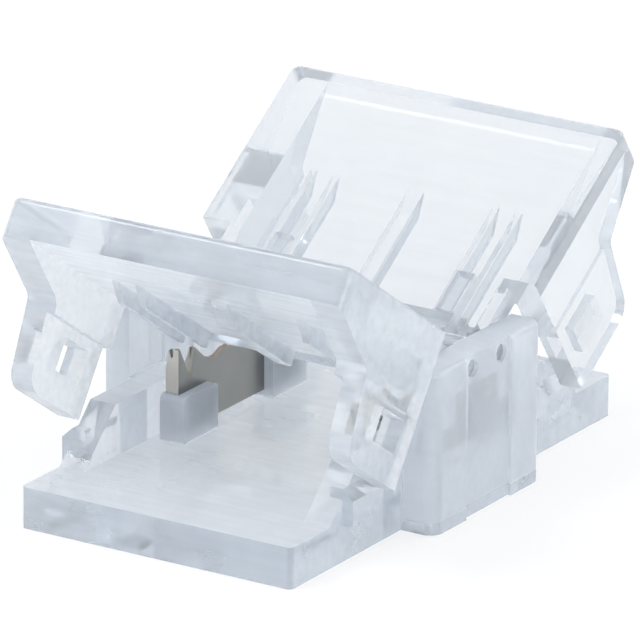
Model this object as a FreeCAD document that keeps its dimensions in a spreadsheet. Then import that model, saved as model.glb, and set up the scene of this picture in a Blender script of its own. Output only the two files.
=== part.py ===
import FreeCAD, Part
import os
import Sketcher

os.makedirs("parts", exist_ok=True)
doc = FreeCAD.newDocument("strip_connector")
V = FreeCAD.Vector
sheet = doc.addObject("Spreadsheet::Sheet", "sizes")


class Size:
    """A length with the formula that gives it, so that sketches follow the sheet."""

    def __init__(self, value, text):
        self.value = value
        self.text = text

    def __add__(self, other):
        other = sized(other)
        return Size(self.value + other.value, "(" + self.text + " + " + other.text + ")")

    def __sub__(self, other):
        other = sized(other)
        return Size(self.value - other.value, "(" + self.text + " - " + other.text + ")")

    def __mul__(self, factor):
        return Size(self.value * factor, "(" + self.text + " * " + repr(factor) + ")")

    def __truediv__(self, factor):
        return Size(self.value / factor, "(" + self.text + " / " + repr(factor) + ")")

    def __neg__(self):
        return Size(-self.value, "(0 mm - " + self.text + ")")


def sized(value):
    """Turn a plain number of millimetres into a Size."""
    if isinstance(value, Size):
        return value
    return Size(float(value), "(" + repr(float(value)) + " mm)")


sheet_row = 0


def size(name, value):
    """Put one driving dimension in the sheet and hand it back."""
    global sheet_row
    sheet_row += 1
    sheet.set("A" + str(sheet_row), name)
    sheet.set("B" + str(sheet_row), str(value))
    sheet.setAlias("B" + str(sheet_row), name)
    return Size(float(value), "(" + sheet.Name + "." + name + " * 1 mm)")


# Base plate, rails and ribs
plate_width = size("plate_width", 12.8)
plate_length = size("plate_length", 24.4)
plate_thick = size("plate_thick", 1.75)
plate_corner = size("plate_corner", 0.25)
rail_thick = size("rail_thick", 1.2)
rail_height = size("rail_height", 2.2)
rail_setback = size("rail_setback", 2.8)
rib_width = size("rib_width", 1.15)
rib_gap = size("rib_gap", 0.35)
rib_length = size("rib_length", 2.55)
rib_height = size("rib_height", 1.95)
nub_proud = size("nub_proud", 0.5)
nub_length = size("nub_length", 2.2)
nub_setback = size("nub_setback", 3.7)
nub_drop = size("nub_drop", 0.15)
nub_flat = size("nub_flat", 1.05)
nub_slope = size("nub_slope", 0.45)

# Block in the middle
wall_thick = size("wall_thick", 1.4)
block_length = size("block_length", 8.2)
block_height = size("block_height", 6.85)
block_corner = size("block_corner", 0.6)
block_edge = size("block_edge", 0.25)
bar_length = size("bar_length", 3.4)
bar_thick = size("bar_thick", 1.6)
end_recess = size("end_recess", 0.15)

# Lids
lid_thick = size("lid_thick", 1.65)
lid_open = size("lid_open", 34.0)
cheek_gap = size("cheek_gap", 0.2)
lid_end_gap = size("lid_end_gap", 0.15)
lid_corner = size("lid_corner", 0.45)
lid_edge = size("lid_edge", 0.25)
lid_overhang = size("lid_overhang", 0.45)
cheek_lift = size("cheek_lift", 0.1)
cheek_length = size("cheek_length", 4.3)
cheek_flare = size("cheek_flare", 0.65)
knee_drop = size("knee_drop", 3.15)
cheek_corner = size("cheek_corner", 0.9)
cheek_knee = size("cheek_knee", 0.5)
nub_play = size("nub_play", 0.1)
window_length = size("window_length", 1.9)
window_height = size("window_height", 1.4)
window_back = size("window_back", 0.95)
window_lift = size("window_lift", 1.35)
tongue_gap = size("tongue_gap", 0.35)

# Hinge
pin_setback = size("pin_setback", 0.6)
pin_drop = size("pin_drop", 0.6)
pin_radius = size("pin_radius", 0.36)
pin_play = size("pin_play", 0.04)
pin_end_gap = size("pin_end_gap", 0.15)
arm_width = size("arm_width", 1.2)
arm_play = size("arm_play", 0.1)
seat_lap = size("seat_lap", 0.15)

# Contacts
metal_thick = size("metal_thick", 0.25)
metal_fit = size("metal_fit", 0.02)
contact_inset = size("contact_inset", 1.0)
rib_wall = size("rib_wall", 0.3)
contact_lift = size("contact_lift", 0.3)
bar_room = size("bar_room", 0.5)
flange_width = size("flange_width", 0.36)
tooth_bite = size("tooth_bite", 0.4)
tooth_pitch = size("tooth_pitch", 1.15)
press_drop = size("press_drop", 0.65)
press_rib_width = size("press_rib_width", 0.3)
press_rib_length = size("press_rib_length", 6.2)
press_rib_lead = size("press_rib_lead", 1.0)
centre_rib_width = size("centre_rib_width", 0.75)
pocket_play = size("pocket_play", 0.1)

# How far a cut runs past the faces it opens
cut_past = size("cut_past", 1.0)

doc.recompute()

# Values worked out from the driving dimensions
plate_half = plate_width / 2
plate_end = plate_length / 2
pillar_face = block_length / 2
bar_half = bar_length / 2
bar_under = block_height - bar_thick
rail_top = plate_thick + rail_height
rail_inner = plate_half - rail_thick
rib_top = plate_thick + rib_height
wall_inner = plate_half + cheek_gap
block_half = wall_inner + wall_thick
arm_outer = wall_inner - arm_play
arm_inner = arm_outer - arm_width
slot_inner = arm_inner - arm_play
pin_y = bar_half - pin_setback
pin_z = block_height - pin_drop
knuckle_radius = pin_drop
slot_end = pin_y - knuckle_radius - arm_play
rib_start = bar_half + rib_gap
rib_end = rib_start + rib_length
contact_x = rail_inner - contact_inset
contact_half = rib_end - rib_wall
contact_under = plate_thick + contact_lift
lid_back = pillar_face + lid_end_gap
lid_front = plate_end + lid_overhang
tongue_end = bar_half + tongue_gap
nub_tip = plate_half + nub_proud
nub_front = plate_end - nub_setback
nub_under = plate_thick - nub_drop
nub_shoulder = nub_under + nub_flat
nub_top = nub_shoulder + nub_slope
relief_inner = nub_tip + nub_play
relief_top = nub_top + nub_play
cheek_foot = lid_back + cheek_length
cheek_knee_y = cheek_foot + cheek_flare
rib_out = tongue_end + press_rib_length
lid_under = block_height - lid_thick
strip_top = lid_under - press_drop
tooth_tip = lid_under + tooth_bite
tooth_height = tooth_tip - rib_top
flange_outer = metal_thick / 2 + flange_width


def plane_of(body, role):
    """Find an origin plane of the body by its role."""
    for item in body.Origin.OriginFeatures:
        if item.Role == role:
            return item
    raise ValueError(role)


def tie(feature, path, length):
    """Set one property and bind it to the formula behind the length."""
    feature.setExpression(path, length.text)


def sketch_on(body, role, name, offset=None):
    """New sketch on an origin plane, moved along the plane's normal."""
    sketch = body.newObject("Sketcher::SketchObject", name)
    sketch.AttachmentSupport = [(plane_of(body, role), "")]
    sketch.MapMode = "FlatFace"
    if offset is not None:
        sketch.AttachmentOffset = FreeCAD.Placement(V(0, 0, offset.value), FreeCAD.Rotation())
        tie(sketch, ".AttachmentOffset.Base.z", offset)
    return sketch


def pin_down(sketch, kind, geometry, point, length):
    """Fix one coordinate of a sketch point from the sketch origin."""
    if abs(length.value) < 1e-9:
        on_axis = -2 if kind == "DistanceX" else -1
        sketch.addConstraint(Sketcher.Constraint("PointOnObject", geometry, point, on_axis))
        return
    if length.value < 0:
        order = (geometry, point, -1, 1)
        size_text = (-length).text
    else:
        order = (-1, 1, geometry, point)
        size_text = length.text
    index = sketch.addConstraint(Sketcher.Constraint(kind, *order, abs(length.value)))
    sketch.setExpression("Constraints[" + str(index) + "]", size_text)


def outline(sketch, corners):
    """Closed outline with straight sides through the corners."""
    points = [(sized(x), sized(y)) for x, y in corners]
    first = sketch.GeometryCount
    count = len(points)
    for i in range(count):
        x0, y0 = points[i]
        x1, y1 = points[(i + 1) % count]
        sketch.addGeometry(Part.LineSegment(V(x0.value, y0.value, 0), V(x1.value, y1.value, 0)))
    for i in range(count):
        following = first + (i + 1) % count
        sketch.addConstraint(Sketcher.Constraint("Coincident", first + i, 2, following, 1))
    for i in range(count):
        pin_down(sketch, "DistanceX", first + i, 1, points[i][0])
        pin_down(sketch, "DistanceY", first + i, 1, points[i][1])


def rectangle(sketch, x0, x1, y0, y1):
    """Rectangle between two x and two y values."""
    outline(sketch, [(x0, y0), (x1, y0), (x1, y1), (x0, y1)])


def circle(sketch, x, y, radius):
    """Circle with its centre and radius bound to the sheet."""
    centre_x, centre_y = sized(x), sized(y)
    index = sketch.addGeometry(
        Part.Circle(V(centre_x.value, centre_y.value, 0), V(0, 0, 1), radius.value))
    pin_down(sketch, "DistanceX", index, 3, centre_x)
    pin_down(sketch, "DistanceY", index, 3, centre_y)
    rule = sketch.addConstraint(Sketcher.Constraint("Radius", index, radius.value))
    sketch.setExpression("Constraints[" + str(rule) + "]", radius.text)


def pad(body, sketch, length, name):
    """Add material along the sketch normal."""
    feature = body.newObject("PartDesign::Pad", name)
    feature.Profile = sketch
    feature.Length = length.value
    tie(feature, "Length", length)
    sketch.Visibility = False
    doc.recompute()
    return feature


def pocket(body, sketch, depth, name, reverse=False):
    """Cut against the sketch normal, or along it when reversed."""
    before = body.Shape.Volume
    feature = body.newObject("PartDesign::Pocket", name)
    feature.Profile = sketch
    feature.Length = depth.value
    feature.Reversed = reverse
    tie(feature, "Length", depth)
    sketch.Visibility = False
    doc.recompute()
    if body.Shape.Volume > before - 1e-6:
        raise RuntimeError("nothing cut by " + name)
    return feature


def edges_where(shape, test):
    """Names of the shape's straight edges that pass the test."""
    names = []
    for i, edge in enumerate(shape.Edges):
        if len(edge.Vertexes) == 2 and test(edge.Vertexes[0].Point, edge.Vertexes[1].Point):
            names.append("Edge" + str(i + 1))
    return names


def fillet(body, radius, test, name):
    """Round the edges that pass the test."""
    base = body.Tip
    names = edges_where(base.Shape, test)
    if not names:
        raise RuntimeError("no edge for " + name)
    feature = body.newObject("PartDesign::Fillet", name)
    feature.Base = (base, names)
    feature.Radius = radius.value
    tie(feature, "Radius", radius)
    doc.recompute()
    return feature


def same(a, b):
    return abs(a - b) < 1e-4


# Housing


def build_housing():
    body = doc.addObject("PartDesign::Body", "base_housing")

    # base plate
    sketch = sketch_on(body, "XY_Plane", "plate_outline")
    rectangle(sketch, -plate_half, plate_half, -plate_end, plate_end)
    pad(body, sketch, plate_thick, "plate")
    fillet(body, plate_corner, lambda a, b: same(a.x, b.x) and same(a.y, b.y), "plate_corners")

    # side rails with sloping ends
    foot = plate_end - rail_setback
    overlap = plate_thick / 2
    for side, start in (("right", rail_inner), ("left", -plate_half)):
        sketch = sketch_on(body, "YZ_Plane", "rail_outline_" + side, start)
        outline(sketch, [
            (-foot, overlap), (foot, overlap), (foot, plate_thick),
            (foot - rail_height, rail_top), (rail_height - foot, rail_top), (-foot, plate_thick)])
        pad(body, sketch, rail_thick, "rail_" + side)

    # catch nubs on the rails, with a sloping top to lead the cheeks over
    root = plate_half - rail_thick / 2
    for end, start in (("front", nub_front - nub_length), ("rear", -nub_front)):
        for side, turned in (("right", 1), ("left", -1)):
            sketch = sketch_on(body, "XZ_Plane", "nub_outline_" + end + "_" + side, start)
            outline(sketch, [
                (root * turned, nub_under), (nub_tip * turned, nub_under),
                (nub_tip * turned, nub_shoulder), (plate_half * turned, nub_top),
                (root * turned, nub_top)])
            pad(body, sketch, nub_length, "nub_" + end + "_" + side)

    # floor of the block, then its side walls
    sketch = sketch_on(body, "XY_Plane", "floor_outline")
    rectangle(sketch, -block_half, block_half, -pillar_face, pillar_face)
    pad(body, sketch, plate_thick, "block_floor")
    sketch = sketch_on(body, "XY_Plane", "wall_outline")
    rectangle(sketch, wall_inner, block_half, -pillar_face, pillar_face)
    rectangle(sketch, -block_half, -wall_inner, -pillar_face, pillar_face)
    pad(body, sketch, block_height, "block_walls")

    def block_corner_edge(a, b):
        if not (same(a.x, b.x) and same(a.y, b.y) and same(abs(a.x), block_half.value)):
            return False
        return same(abs(a.y), pillar_face.value)

    fillet(body, block_corner, block_corner_edge, "block_corners")

    def block_top_edge(a, b):
        if not (same(a.z, block_height.value) and same(b.z, block_height.value)):
            return False
        return same(a.x, b.x) and same(abs(a.x), block_half.value)

    fillet(body, block_edge, block_top_edge, "block_top_edges")

    # ledges between rails and walls, raised under the hinge arms
    sketch = sketch_on(body, "XY_Plane", "ledge_outline", overlap)
    rectangle(sketch, rail_inner, wall_inner, -pillar_face, pillar_face)
    rectangle(sketch, -wall_inner, -rail_inner, -pillar_face, pillar_face)
    pad(body, sketch, rail_top - overlap, "ledges")
    sketch = sketch_on(body, "XY_Plane", "hinge_seat_outline", overlap)
    rectangle(sketch, slot_inner - seat_lap, wall_inner, -bar_half, bar_half)
    rectangle(sketch, -wall_inner, seat_lap - slot_inner, -bar_half, bar_half)
    pad(body, sketch, bar_under - overlap, "hinge_seats")

    # bridge bar over the strip channel, notched at its corners for the hinge arms
    sketch = sketch_on(body, "XY_Plane", "bar_outline", bar_under)
    outline(sketch, [
        (-wall_inner, -slot_end), (-slot_inner, -slot_end), (-slot_inner, -bar_half),
        (slot_inner, -bar_half), (slot_inner, -slot_end), (wall_inner, -slot_end),
        (wall_inner, slot_end), (slot_inner, slot_end), (slot_inner, bar_half),
        (-slot_inner, bar_half), (-slot_inner, slot_end), (-wall_inner, slot_end)])
    pad(body, sketch, bar_thick, "bridge_bar")

    # shallow recess between the pillars on each end face
    sketch = sketch_on(body, "XY_Plane", "recess_outline", block_height)
    rectangle(sketch, block_half - end_recess, block_half + cut_past, -bar_half, bar_half)
    rectangle(sketch, -block_half - cut_past, end_recess - block_half, -bar_half, bar_half)
    pocket(body, sketch, block_height + cut_past, "end_recesses")

    # pin holes through both end walls
    hole_depth = block_half - wall_inner + arm_play
    for side, start, turned in (("right", block_half, False), ("left", -block_half, True)):
        sketch = sketch_on(body, "YZ_Plane", "pin_hole_outline_" + side, start)
        circle(sketch, pin_y, pin_z, pin_radius + pin_play)
        circle(sketch, -pin_y, pin_z, pin_radius + pin_play)
        pocket(body, sketch, hole_depth, "pin_holes_" + side, turned)

    # slotted ribs that hold the contacts
    sketch = sketch_on(body, "XY_Plane", "rib_outline", overlap)
    for x in (contact_x, -contact_x):
        rectangle(sketch, x - rib_width / 2, x + rib_width / 2, rib_start, rib_end)
        rectangle(sketch, x - rib_width / 2, x + rib_width / 2, -rib_end, -rib_start)
    pad(body, sketch, rib_top - overlap, "ribs")
    slot_half = metal_thick / 2 + metal_fit
    sketch = sketch_on(body, "XY_Plane", "contact_slot_outline", rib_top)
    for x in (contact_x, -contact_x):
        rectangle(sketch, x - slot_half, x + slot_half, -contact_half - metal_fit,
                  contact_half + metal_fit)
    pocket(body, sketch, rib_top - contact_under, "contact_slots")

    # rounded top ends of the ribs
    def rib_corner_edge(a, b):
        if not (same(a.z, rib_top.value) and same(b.z, rib_top.value) and same(a.y, b.y)):
            return False
        return same(abs(a.y), rib_start.value) or same(abs(a.y), rib_end.value)

    fillet(body, rib_wall * 0.8, rib_corner_edge, "rib_ends")
    return body


# Lids


def build_lid(name, turn):
    body = doc.addObject("PartDesign::Body", name)

    # top plate, from the tongue's end to the free edge
    sketch = sketch_on(body, "XY_Plane", name + "_plate_outline", lid_under)
    outline(sketch, [
        (-arm_outer, tongue_end), (arm_outer, tongue_end), (arm_outer, lid_back),
        (block_half, lid_back), (block_half, lid_front), (-block_half, lid_front),
        (-block_half, lid_back), (-arm_outer, lid_back)])
    pad(body, sketch, lid_thick, name + "_plate")

    # side cheeks
    knee = block_height - knee_drop
    for side, start in (("right", wall_inner), ("left", -block_half)):
        sketch = sketch_on(body, "YZ_Plane", name + "_cheek_outline_" + side, start)
        outline(sketch, [
            (lid_back, cheek_lift), (cheek_foot, cheek_lift),
            (cheek_knee_y, knee), (lid_front, lid_under),
            (lid_front, block_height), (lid_back, block_height)])
        pad(body, sketch, block_half - wall_inner, name + "_cheek_" + side)

    # thinner lower part of each cheek, clear of the nubs
    sketch = sketch_on(body, "XY_Plane", name + "_relief_outline", relief_top)
    rectangle(sketch, wall_inner - arm_play, relief_inner, lid_back - cut_past, lid_front)
    rectangle(sketch, -relief_inner, arm_play - wall_inner, lid_back - cut_past, lid_front)
    pocket(body, sketch, relief_top, name + "_relief")

    # window in each cheek
    sketch = sketch_on(body, "YZ_Plane", name + "_window_outline", block_half + cut_past)
    rectangle(sketch, lid_back + window_back, lid_back + window_back + window_length,
              window_lift, window_lift + window_height)
    pocket(body, sketch, (block_half + cut_past) * 2, name + "_windows")

    # hinge arms run on under the plate as outer ribs
    for side, start in (("right", arm_inner), ("left", -arm_outer)):
        sketch = sketch_on(body, "YZ_Plane", name + "_arm_outline_" + side, start)
        outline(sketch, [
            (pin_y, pin_z - knuckle_radius), (lid_back, pin_z - knuckle_radius),
            (rib_out, lid_under), (rib_out, block_height), (pin_y, block_height)])
        pad(body, sketch, arm_width, name + "_arm_" + side)
        sketch = sketch_on(body, "YZ_Plane", name + "_knuckle_outline_" + side, start)
        circle(sketch, pin_y, pin_z, knuckle_radius)
        pad(body, sketch, arm_width, name + "_knuckle_" + side)

    # hinge pins point outwards
    pin_length = block_half - end_recess - pin_end_gap - arm_inner
    for side, start in (("right", arm_inner), ("left", -arm_inner - pin_length)):
        sketch = sketch_on(body, "YZ_Plane", name + "_pin_outline_" + side, start)
        circle(sketch, pin_y, pin_z, pin_radius)
        pad(body, sketch, pin_length, name + "_pin_" + side)

    # ribs that press the strip down beside the teeth
    outer = contact_x + flange_outer + pocket_play
    slot = contact_x - metal_thick / 2 - pocket_play
    inner = slot - press_rib_width
    ribs = (
        ("1", -outer - press_rib_width, press_rib_width), ("2", -slot, press_rib_width),
        ("3", -centre_rib_width / 2, centre_rib_width), ("4", inner, press_rib_width),
        ("5", outer, press_rib_width))
    for number, start, width in ribs:
        sketch = sketch_on(body, "YZ_Plane", name + "_press_outline_" + number, start)
        outline(sketch, [
            (tongue_end, strip_top), (rib_out - press_rib_lead, strip_top), (rib_out, lid_under),
            (rib_out, lid_under + lid_thick / 4), (tongue_end, lid_under + lid_thick / 4)])
        pad(body, sketch, width, name + "_press_rib_" + number)

    # pockets in the plate over the teeth
    tip_room = tooth_bite + pocket_play
    sketch = sketch_on(body, "XY_Plane", name + "_pocket_outline", lid_under)
    near = contact_half - tooth_pitch - tooth_pitch / 2
    far = contact_half + pocket_play * 3
    rectangle(sketch, slot, outer, near, far)
    rectangle(sketch, -outer, -slot, near, far)
    pocket(body, sketch, tip_room, name + "_tooth_pockets", True)

    # rounded corners
    def free_corner(a, b):
        if not (same(a.x, b.x) and same(a.y, b.y) and same(a.y, lid_front.value)):
            return False
        return same(abs(a.x), block_half.value)

    fillet(body, lid_corner, free_corner, name + "_free_corners")

    def foot_edge(a, b):
        if not (same(a.z, cheek_lift.value) and same(b.z, cheek_lift.value)):
            return False
        return same(a.y, cheek_foot.value) and same(b.y, cheek_foot.value)

    fillet(body, cheek_corner, foot_edge, name + "_cheek_corners")

    def knee_edge(a, b):
        if not (same(a.z, knee.value) and same(b.z, knee.value)):
            return False
        return same(a.y, cheek_knee_y.value) and same(b.y, cheek_knee_y.value)

    fillet(body, cheek_knee, knee_edge, name + "_knees")

    def lid_top_edge(a, b):
        if not (same(a.z, block_height.value) and same(b.z, block_height.value)):
            return False
        return same(a.y, b.y) and same(a.y, lid_front.value)

    fillet(body, lid_edge, lid_top_edge, name + "_top_edges")
    place_lid(body, turn)
    return body


def place_lid(body, turn):
    """Open the lid about its pins, then turn it to its side of the block."""
    centre = V(0, pin_y.value, pin_z.value)
    opened = FreeCAD.Placement(V(), FreeCAD.Rotation(V(1, 0, 0), lid_open.value), centre)
    turned = FreeCAD.Placement(V(), FreeCAD.Rotation(V(0, 0, 1), turn))
    body.Placement = turned.multiply(opened)


# Contacts


def build_contact(name, side):
    """Blade with two teeth at each end; side is 1 at +X, where the flanges lean to +X."""
    body = doc.addObject("PartDesign::Body", name)
    middle = contact_x * side
    shoulder = bar_half + metal_thick * 2.5
    tip_2 = contact_half - tooth_pitch
    valley = contact_half - tooth_pitch * 0.75
    valley_top = rib_top + tooth_height / 4
    high = bar_under - bar_room
    low = high - metal_thick * 0.8
    half = [
        (contact_half, contact_under), (contact_half, tooth_tip),
        (contact_half - metal_thick / 2, tooth_tip), (valley, valley_top),
        (tip_2, tooth_tip - metal_fit * 8), (shoulder, high), (bar_half, low),
        (bar_half - metal_thick, low), (bar_half - metal_thick * 3, high)]
    points = half + [(-y, z) for y, z in reversed(half)]
    sketch = sketch_on(body, "YZ_Plane", name + "_outline", middle - metal_thick / 2)
    outline(sketch, points)
    pad(body, sketch, metal_thick, name + "_blade")

    # bent flange beside the first tooth of each end, its top cut into a second small point
    foot = rib_top + metal_fit
    edge = middle + flange_outer * side
    point = middle + flange_outer * 0.7 * side
    notch = middle + flange_outer * 0.4 * side
    for end, start in (("front", contact_half - metal_thick), ("rear", -contact_half)):
        sketch = sketch_on(body, "XZ_Plane", name + "_flange_outline_" + end, start)
        outline(sketch, [
            (edge, foot), (middle, foot), (middle, tooth_tip), (notch, tooth_tip - tooth_bite),
            (point, tooth_tip - metal_fit * 3), (edge, foot + tooth_height * 0.55)])
        pad(body, sketch, metal_thick, name + "_flange_" + end)

    # slanting web that makes a pyramid of the second tooth
    web_top = tooth_tip - metal_fit * 8
    for end, start in (("front", tip_2 - metal_thick / 2), ("rear", -tip_2 - metal_thick / 2)):
        sketch = sketch_on(body, "XZ_Plane", name + "_web_outline_" + end, start)
        outline(sketch, [
            (middle, valley_top), (middle, web_top - metal_fit), (edge, valley_top)])
        pad(body, sketch, metal_thick, name + "_web_" + end)
    return body


def check_objects():
    """Stop if any object failed to compute."""
    for item in doc.Objects:
        for word in ("Invalid", "Error"):
            if word in item.State:
                raise RuntimeError(item.Name + " is " + word)


bodies = [
    build_housing(),
    build_lid("front_lid", 180.0),
    build_lid("rear_lid", 0.0),
    build_contact("contact_left", -1),
    build_contact("contact_right", 1)]
doc.recompute()
check_objects()
for body in bodies:
    shape = body.Shape
    if shape.isNull() or not shape.isValid() or len(shape.Solids) != 1:
        raise RuntimeError(body.Name + " is not one valid solid")
    print(body.Name, round(shape.Volume, 3), shape.BoundBox)
for body in bodies:
    body.Shape.exportStep("parts/" + body.Name + ".step")
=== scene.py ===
import math
import bpy
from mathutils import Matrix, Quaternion, Vector

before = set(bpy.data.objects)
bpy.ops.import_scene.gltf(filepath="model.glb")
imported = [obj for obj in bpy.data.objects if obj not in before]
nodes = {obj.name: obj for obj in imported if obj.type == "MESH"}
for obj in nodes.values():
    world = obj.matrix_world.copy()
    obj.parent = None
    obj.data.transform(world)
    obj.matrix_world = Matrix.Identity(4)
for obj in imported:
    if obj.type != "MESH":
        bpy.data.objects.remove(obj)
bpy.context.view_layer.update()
print("frame loaded")


# small helpers for materials
def newMaterial(name):
    mat = bpy.data.materials.new(name)
    mat.use_nodes = True
    mat.node_tree.nodes.clear()
    return mat, mat.node_tree


def addNode(tree, kind, **values):
    node = tree.nodes.new(kind)
    for key, value in values.items():
        node.inputs[key.replace("_", " ")].default_value = value
    return node


def mathNode(tree, operation, *values):
    node = tree.nodes.new("ShaderNodeMath")
    node.operation = operation
    for slot, value in enumerate(values):
        if value is not None:
            node.inputs[slot].default_value = value
    return node


# the mix node has its two colours in slots 6 and 7, and gives the colour out of slot 2
def colourMix(tree, first, second):
    node = tree.nodes.new("ShaderNodeMix")
    node.data_type = "RGBA"
    node.inputs[6].default_value = first
    node.inputs[7].default_value = second
    return node


def join(tree, source, output, target, slot):
    tree.links.new(source.outputs[output], target.inputs[slot])


def dress(node, mat):
    node.data.materials.clear()
    node.data.materials.append(mat)


# the smallest roundings of the mouldings, too small for the solids
edgeBreak = {"width": 0.00007, "segments": 2, "angle": 35.0}  # metres and degrees


def breakEdges(node):
    soft = node.modifiers.new("edge break", "BEVEL")
    soft.width = edgeBreak["width"]
    soft.segments = edgeBreak["segments"]
    soft.limit_method = "ANGLE"
    soft.angle_limit = math.radians(edgeBreak["angle"])
    soft.harden_normals = False


# clear plastic of the housing and the lids; sizes and densities are per metre, depths in metres
plastic = {
    "tint": (0.92, 0.945, 0.97, 1.0),
    "index": 1.46,  # a little under polycarbonate, keeps the far edges readable
    "rough": 0.04,
    "haze": {"base_housing": 0.28, "front_lid": 0.32, "rear_lid": 0.2},  # share of milky scatter
    "hazeSwing": 0.16,
    "streakSwing": {"base_housing": 0.07, "front_lid": 0.17, "rear_lid": 0.09},
    "hazeColour": (0.87, 0.9, 0.94, 1.0),
    "hazeFront": 0.4,  # share of the haze that throws light back
    "rippleSize": 260.0,
    "rippleDepth": 0.00003,
    "streakSize": (130.0, 2200.0, 2200.0),  # along x, y and z, so the streaks run along x
    "streakDepth": 0.00001,
    "grainSize": 2600.0,
    "grainDepth": 0.000005,
    "bumpStrength": 0.5,
    "seedStep": 37.0,  # keeps the marks of two mouldings apart
    "depthColour": (0.5, 0.6, 0.7, 1.0),
    # low enough that only the long ways through the plastic turn darker
    "depthDensity": {"base_housing": 44.0, "front_lid": 20.0, "rear_lid": 26.0},
}


def clearPlastic(name, seed, frosted):
    mat, tree = newMaterial("clear " + name.replace("_", " "))
    place = addNode(tree, "ShaderNodeTexCoord")
    ripple = addNode(tree, "ShaderNodeTexNoise", Scale=plastic["rippleSize"], Detail=2.0)
    grain = addNode(tree, "ShaderNodeTexNoise", Scale=plastic["grainSize"] + seed, Detail=3.0)
    alongX, alongY, alongZ = plastic["streakSize"]
    stretch = addNode(tree, "ShaderNodeMapping", Scale=(alongX + seed, alongY, alongZ))
    streak = addNode(tree, "ShaderNodeTexNoise", Scale=1.0, Detail=2.0)
    join(tree, place, "Object", stretch, "Vector")
    join(tree, place, "Object", ripple, "Vector")
    join(tree, stretch, "Vector", streak, "Vector")
    join(tree, place, "Object", grain, "Vector")

    # ripple, streak and grain lie over each other as bumps
    bump = None
    for marks, kind in ((ripple, "rippleDepth"), (streak, "streakDepth"), (grain, "grainDepth")):
        layer = addNode(
            tree, "ShaderNodeBump", Strength=plastic["bumpStrength"], Distance=plastic[kind]
        )
        join(tree, marks, "Fac", layer, "Height")
        if bump:
            join(tree, bump, "Normal", layer, "Normal")
        bump = layer

    glass = addNode(
        tree,
        "ShaderNodeBsdfPrincipled",
        Base_Color=plastic["tint"],
        Roughness=plastic["rough"],
        IOR=plastic["index"],
        Transmission_Weight=1.0,
    )
    through = addNode(tree, "ShaderNodeBsdfTranslucent", Color=plastic["hazeColour"])
    back = addNode(tree, "ShaderNodeBsdfDiffuse", Color=plastic["hazeColour"])
    for shader in (glass, through, back):
        join(tree, bump, "Normal", shader, "Normal")
    milk = addNode(tree, "ShaderNodeMixShader", Fac=plastic["hazeFront"])
    join(tree, through, 0, milk, 1)
    join(tree, back, 0, milk, 2)

    # the milky share swings with the ripple and the streaks
    streakSwing = plastic["streakSwing"][name]
    least = plastic["haze"][name] - plastic["hazeSwing"] / 2 - streakSwing / 2
    swing = mathNode(tree, "MULTIPLY_ADD", None, plastic["hazeSwing"], least)
    haze = mathNode(tree, "MULTIPLY_ADD", None, streakSwing, None)
    join(tree, ripple, "Fac", swing, 0)
    join(tree, streak, "Fac", haze, 0)
    join(tree, swing, 0, haze, 2)
    for zone in frosted:
        haze = addFrost(tree, place, haze, zone)
    blend = addNode(tree, "ShaderNodeMixShader")
    join(tree, haze, 0, blend, "Fac")
    join(tree, glass, 0, blend, 1)
    join(tree, milk, 0, blend, 2)

    inner = addNode(
        tree,
        "ShaderNodeVolumeAbsorption",
        Color=plastic["depthColour"],
        Density=plastic["depthDensity"][name],
    )
    out = addNode(tree, "ShaderNodeOutputMaterial")
    join(tree, blend, 0, out, "Surface")
    join(tree, inner, 0, out, "Volume")
    return mat


# mould faces that are frosted, so the metal behind them hardly shows
# each zone counts on both sides of the middle, in millimetres
frost = [
    {"low": (3.5, 1.9, 1.8), "high": (4.9, 4.75, 4.0), "share": 0.62},
    {"low": (6.5, -1.0, 0.5), "high": (8.2, 4.2, 7.0), "share": 0.34},
]


def addFrost(tree, place, plain, zone):
    split = addNode(tree, "ShaderNodeSeparateXYZ")
    join(tree, place, "Object", split, "Vector")
    share = None
    for axis, low, high in zip("XYZ", zone["low"], zone["high"]):
        size = mathNode(tree, "ABSOLUTE")
        join(tree, split, axis, size, 0)
        for test, limit in (("GREATER_THAN", low), ("LESS_THAN", high)):
            inside = mathNode(tree, test, None, limit / 1000)  # metres
            join(tree, size, 0, inside, 0)
            if share is None:
                share = inside
                continue
            both = mathNode(tree, "MULTIPLY")
            join(tree, share, 0, both, 0)
            join(tree, inside, 0, both, 1)
            share = both
    total = mathNode(tree, "MULTIPLY_ADD", None, zone["share"], None)
    join(tree, share, 0, total, 0)
    join(tree, plain, 0, total, 2)
    return total


for index, name in enumerate(plastic["haze"]):
    frosted = frost if name == "base_housing" else []
    dress(nodes[name], clearPlastic(name, index * plastic["seedStep"], frosted))
    breakEdges(nodes[name])
print("plastic done")


# bent contacts
contact = {
    "face": (0.27, 0.27, 0.255, 1.0),
    "faceWorn": (0.36, 0.355, 0.335, 1.0),
    # painted light: the flanges are the same plated sheet as the wide faces, given a lighter colour
    # as if lit more
    "flange": (0.62, 0.59, 0.54, 1.0),
    "sheared": (0.42, 0.3, 0.22, 1.0),  # bare copper alloy where the sheet was cut
    "rough": 0.36,
    "wearSize": 500.0,
    "brushSize": 900.0,
    "brushDepth": 0.000006,
    "bumpStrength": 0.6,
}


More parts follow.
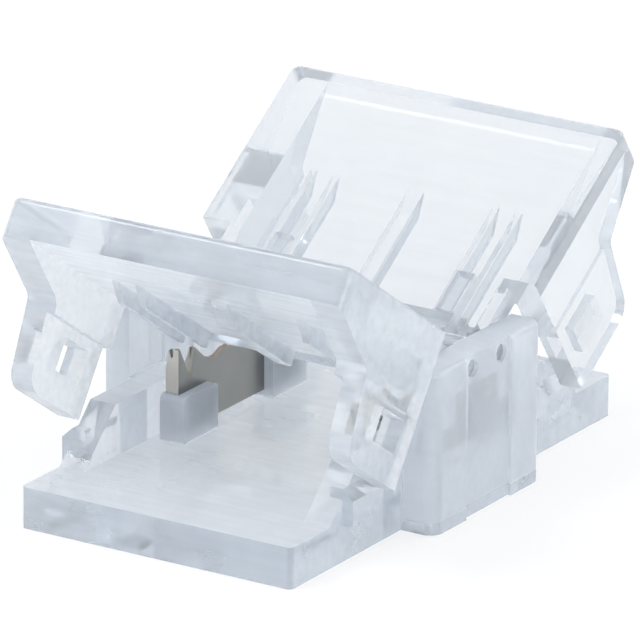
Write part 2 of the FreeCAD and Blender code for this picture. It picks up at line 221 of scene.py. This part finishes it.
def contactMetal(name):
    mat, tree = newMaterial(name)
    place = addNode(tree, "ShaderNodeTexCoord")
    brush = addNode(tree, "ShaderNodeTexNoise", Scale=contact["brushSize"], Detail=4.0)
    wear = addNode(tree, "ShaderNodeTexNoise", Scale=contact["wearSize"], Detail=3.0)
    join(tree, place, "Object", brush, "Vector")
    join(tree, place, "Object", wear, "Vector")
    bump = addNode(
        tree, "ShaderNodeBump", Strength=contact["bumpStrength"], Distance=contact["brushDepth"]
    )
    join(tree, brush, "Fac", bump, "Height")
    worn = colourMix(tree, contact["face"], contact["faceWorn"])
    join(tree, wear, "Fac", worn, "Factor")

    # the wide faces look along x and keep the darker colour; the flanges look along y and get a
    # lighter colour that is painted light, the same sheet shown as if lit more; what looks
    # elsewhere is a cut edge
    facing = addNode(tree, "ShaderNodeNewGeometry")
    split = addNode(tree, "ShaderNodeSeparateXYZ")
    join(tree, facing, "True Normal", split, "Vector")
    sideways = mathNode(tree, "ABSOLUTE")
    litFlangeShare = mathNode(tree, "ABSOLUTE")
    join(tree, split, "X", sideways, 0)
    join(tree, split, "Y", litFlangeShare, 0)
    flat = colourMix(tree, contact["sheared"], contact["face"])
    join(tree, sideways, 0, flat, "Factor")
    join(tree, worn, 2, flat, 7)
    # faces looking along y get the lighter painted-light flange colour
    colour = colourMix(tree, contact["sheared"], contact["flange"])
    join(tree, litFlangeShare, 0, colour, "Factor")
    join(tree, flat, 2, colour, 6)

    metal = addNode(tree, "ShaderNodeBsdfPrincipled", Metallic=1.0, Roughness=contact["rough"])
    join(tree, colour, 2, metal, "Base Color")
    join(tree, bump, "Normal", metal, "Normal")
    out = addNode(tree, "ShaderNodeOutputMaterial")
    join(tree, metal, 0, out, "Surface")
    return mat


metalMat = contactMetal("contact metal")
for name in ("contact_left", "contact_right"):
    dress(nodes[name], metalMat)
print("contacts done")


# one where the ray comes from the eye, a gloss or a clear piece
def seenDirectly(tree):
    path = addNode(tree, "ShaderNodeLightPath")
    first = mathNode(tree, "MAXIMUM")
    both = mathNode(tree, "MAXIMUM")
    join(tree, path, "Is Camera Ray", first, 0)
    join(tree, path, "Is Glossy Ray", first, 1)
    join(tree, first, 0, both, 0)
    join(tree, path, "Is Transmission Ray", both, 1)
    return both


# floor, white to the eye and to what the plastic shows, and it keeps the shadow
floorLook = {
    "half": 0.6,
    "under": 0.00002,  # so it doesn't share a plane with the underside
    "colour": (0.9, 0.91, 0.92, 1.0),
    "glow": 0.72,
}
bpy.ops.mesh.primitive_plane_add(size=floorLook["half"] * 2, location=(0, 0, -floorLook["under"]))
floor = bpy.context.object
floor.name = "floor"
floorMat, floorTree = newMaterial("floor")
floorPlain = addNode(floorTree, "ShaderNodeBsdfDiffuse", Color=floorLook["colour"])
floorWhite = addNode(floorTree, "ShaderNodeEmission", Strength=1.0)
floorBlend = addNode(floorTree, "ShaderNodeMixShader")
floorOut = addNode(floorTree, "ShaderNodeOutputMaterial")
glow = mathNode(floorTree, "MULTIPLY", None, floorLook["glow"])
join(floorTree, seenDirectly(floorTree), 0, glow, 0)
join(floorTree, glow, 0, floorBlend, "Fac")
join(floorTree, floorPlain, 0, floorBlend, 1)
join(floorTree, floorWhite, 0, floorBlend, 2)
join(floorTree, floorBlend, 0, floorOut, "Surface")
dress(floor, floorMat)
print("floor done")


# room around it, white where it is seen
# it is dimmer behind the viewer, which draws the thin dark lines in the clear edges
room = {
    "bright": (1.0, 1.0, 1.0, 1.0),
    "dim": (0.35, 0.4, 0.46, 1.0),
    "towards": (0.52, -0.8, 0.3),
    "fadeFrom": 0.5,
    "fadeTo": 0.9,
    "air": (0.95, 0.97, 1.0, 1.0),
    "airStrength": 0.75,
}
world = bpy.data.worlds.new("studio")
bpy.context.scene.world = world
world.use_nodes = True
worldTree = world.node_tree
air = worldTree.nodes["Background"]
air.inputs["Color"].default_value = room["air"]
air.inputs["Strength"].default_value = room["airStrength"]
white = addNode(worldTree, "ShaderNodeBackground", Strength=1.0)
aim = addNode(worldTree, "ShaderNodeTexCoord")
behind = addNode(worldTree, "ShaderNodeVectorMath")
behind.operation = "DOT_PRODUCT"
behind.inputs[1].default_value = room["towards"]
fade = addNode(
    worldTree, "ShaderNodeMapRange", From_Min=room["fadeFrom"], From_Max=room["fadeTo"]
)
shade = colourMix(worldTree, room["bright"], room["dim"])
sky = addNode(worldTree, "ShaderNodeMixShader")
join(worldTree, aim, "Generated", behind, 0)
join(worldTree, behind, "Value", fade, "Value")
join(worldTree, fade, "Result", shade, "Factor")
join(worldTree, shade, 2, white, "Color")
join(worldTree, seenDirectly(worldTree), 0, sky, "Fac")
join(worldTree, air, 0, sky, 1)
join(worldTree, white, 0, sky, 2)
join(worldTree, sky, 0, worldTree.nodes["World Output"], "Surface")
print("room done")


# three soft lamps, all turned to the middle of the part
lamps = {
    "width": 0.12,
    "aim": (0.0, 0.0, 0.005),
    "place": {
        "key lamp": (-0.12, -0.1, 0.22),
        "rear lamp": (0.1, 0.22, 0.16),
        "side lamp": (0.25, -0.05, 0.08),
    },
    "power": {"key lamp": 0.35, "rear lamp": 0.25, "side lamp": 0.22},
}


def softLamp(name):
    lamp = bpy.data.lights.new(name, "AREA")
    lamp.energy = lamps["power"][name]
    lamp.size = lamps["width"]
    holder = bpy.data.objects.new(name, lamp)
    bpy.context.scene.collection.objects.link(holder)
    holder.location = lamps["place"][name]
    holder.rotation_mode = "QUATERNION"
    towards = Vector(lamps["aim"]) - Vector(lamps["place"][name])
    holder.rotation_quaternion = towards.to_track_quat("-Z", "Y")


for name in lamps["place"]:
    softLamp(name)
print("lamps done")


# camera at the angle of the photograph
shot = {
    "place": (0.198693, -0.313439, 0.136238),
    "yaw": 32.38,
    "pitch": -19.277,
    "roll": 0.345,
    "lens": 548.17,
    "nearest": 0.01,
    "farthest": 5.0,
}
yaw = math.radians(shot["yaw"])
pitch = math.radians(shot["pitch"])
ahead = Vector((-math.sin(yaw) * math.cos(pitch), math.cos(yaw) * math.cos(pitch), math.sin(pitch)))
roll = Quaternion((0, 0, 1), math.radians(shot["roll"]))
camera = bpy.data.objects.new("camera", bpy.data.cameras.new("camera"))
bpy.context.scene.collection.objects.link(camera)
camera.location = shot["place"]
camera.rotation_mode = "QUATERNION"
camera.rotation_quaternion = ahead.to_track_quat("-Z", "Y") @ roll
camera.data.lens = shot["lens"]
camera.data.clip_start = shot["nearest"]
camera.data.clip_end = shot["farthest"]
bpy.context.scene.camera = camera
bpy.context.scene.view_settings.view_transform = "Standard"
print("camera done")
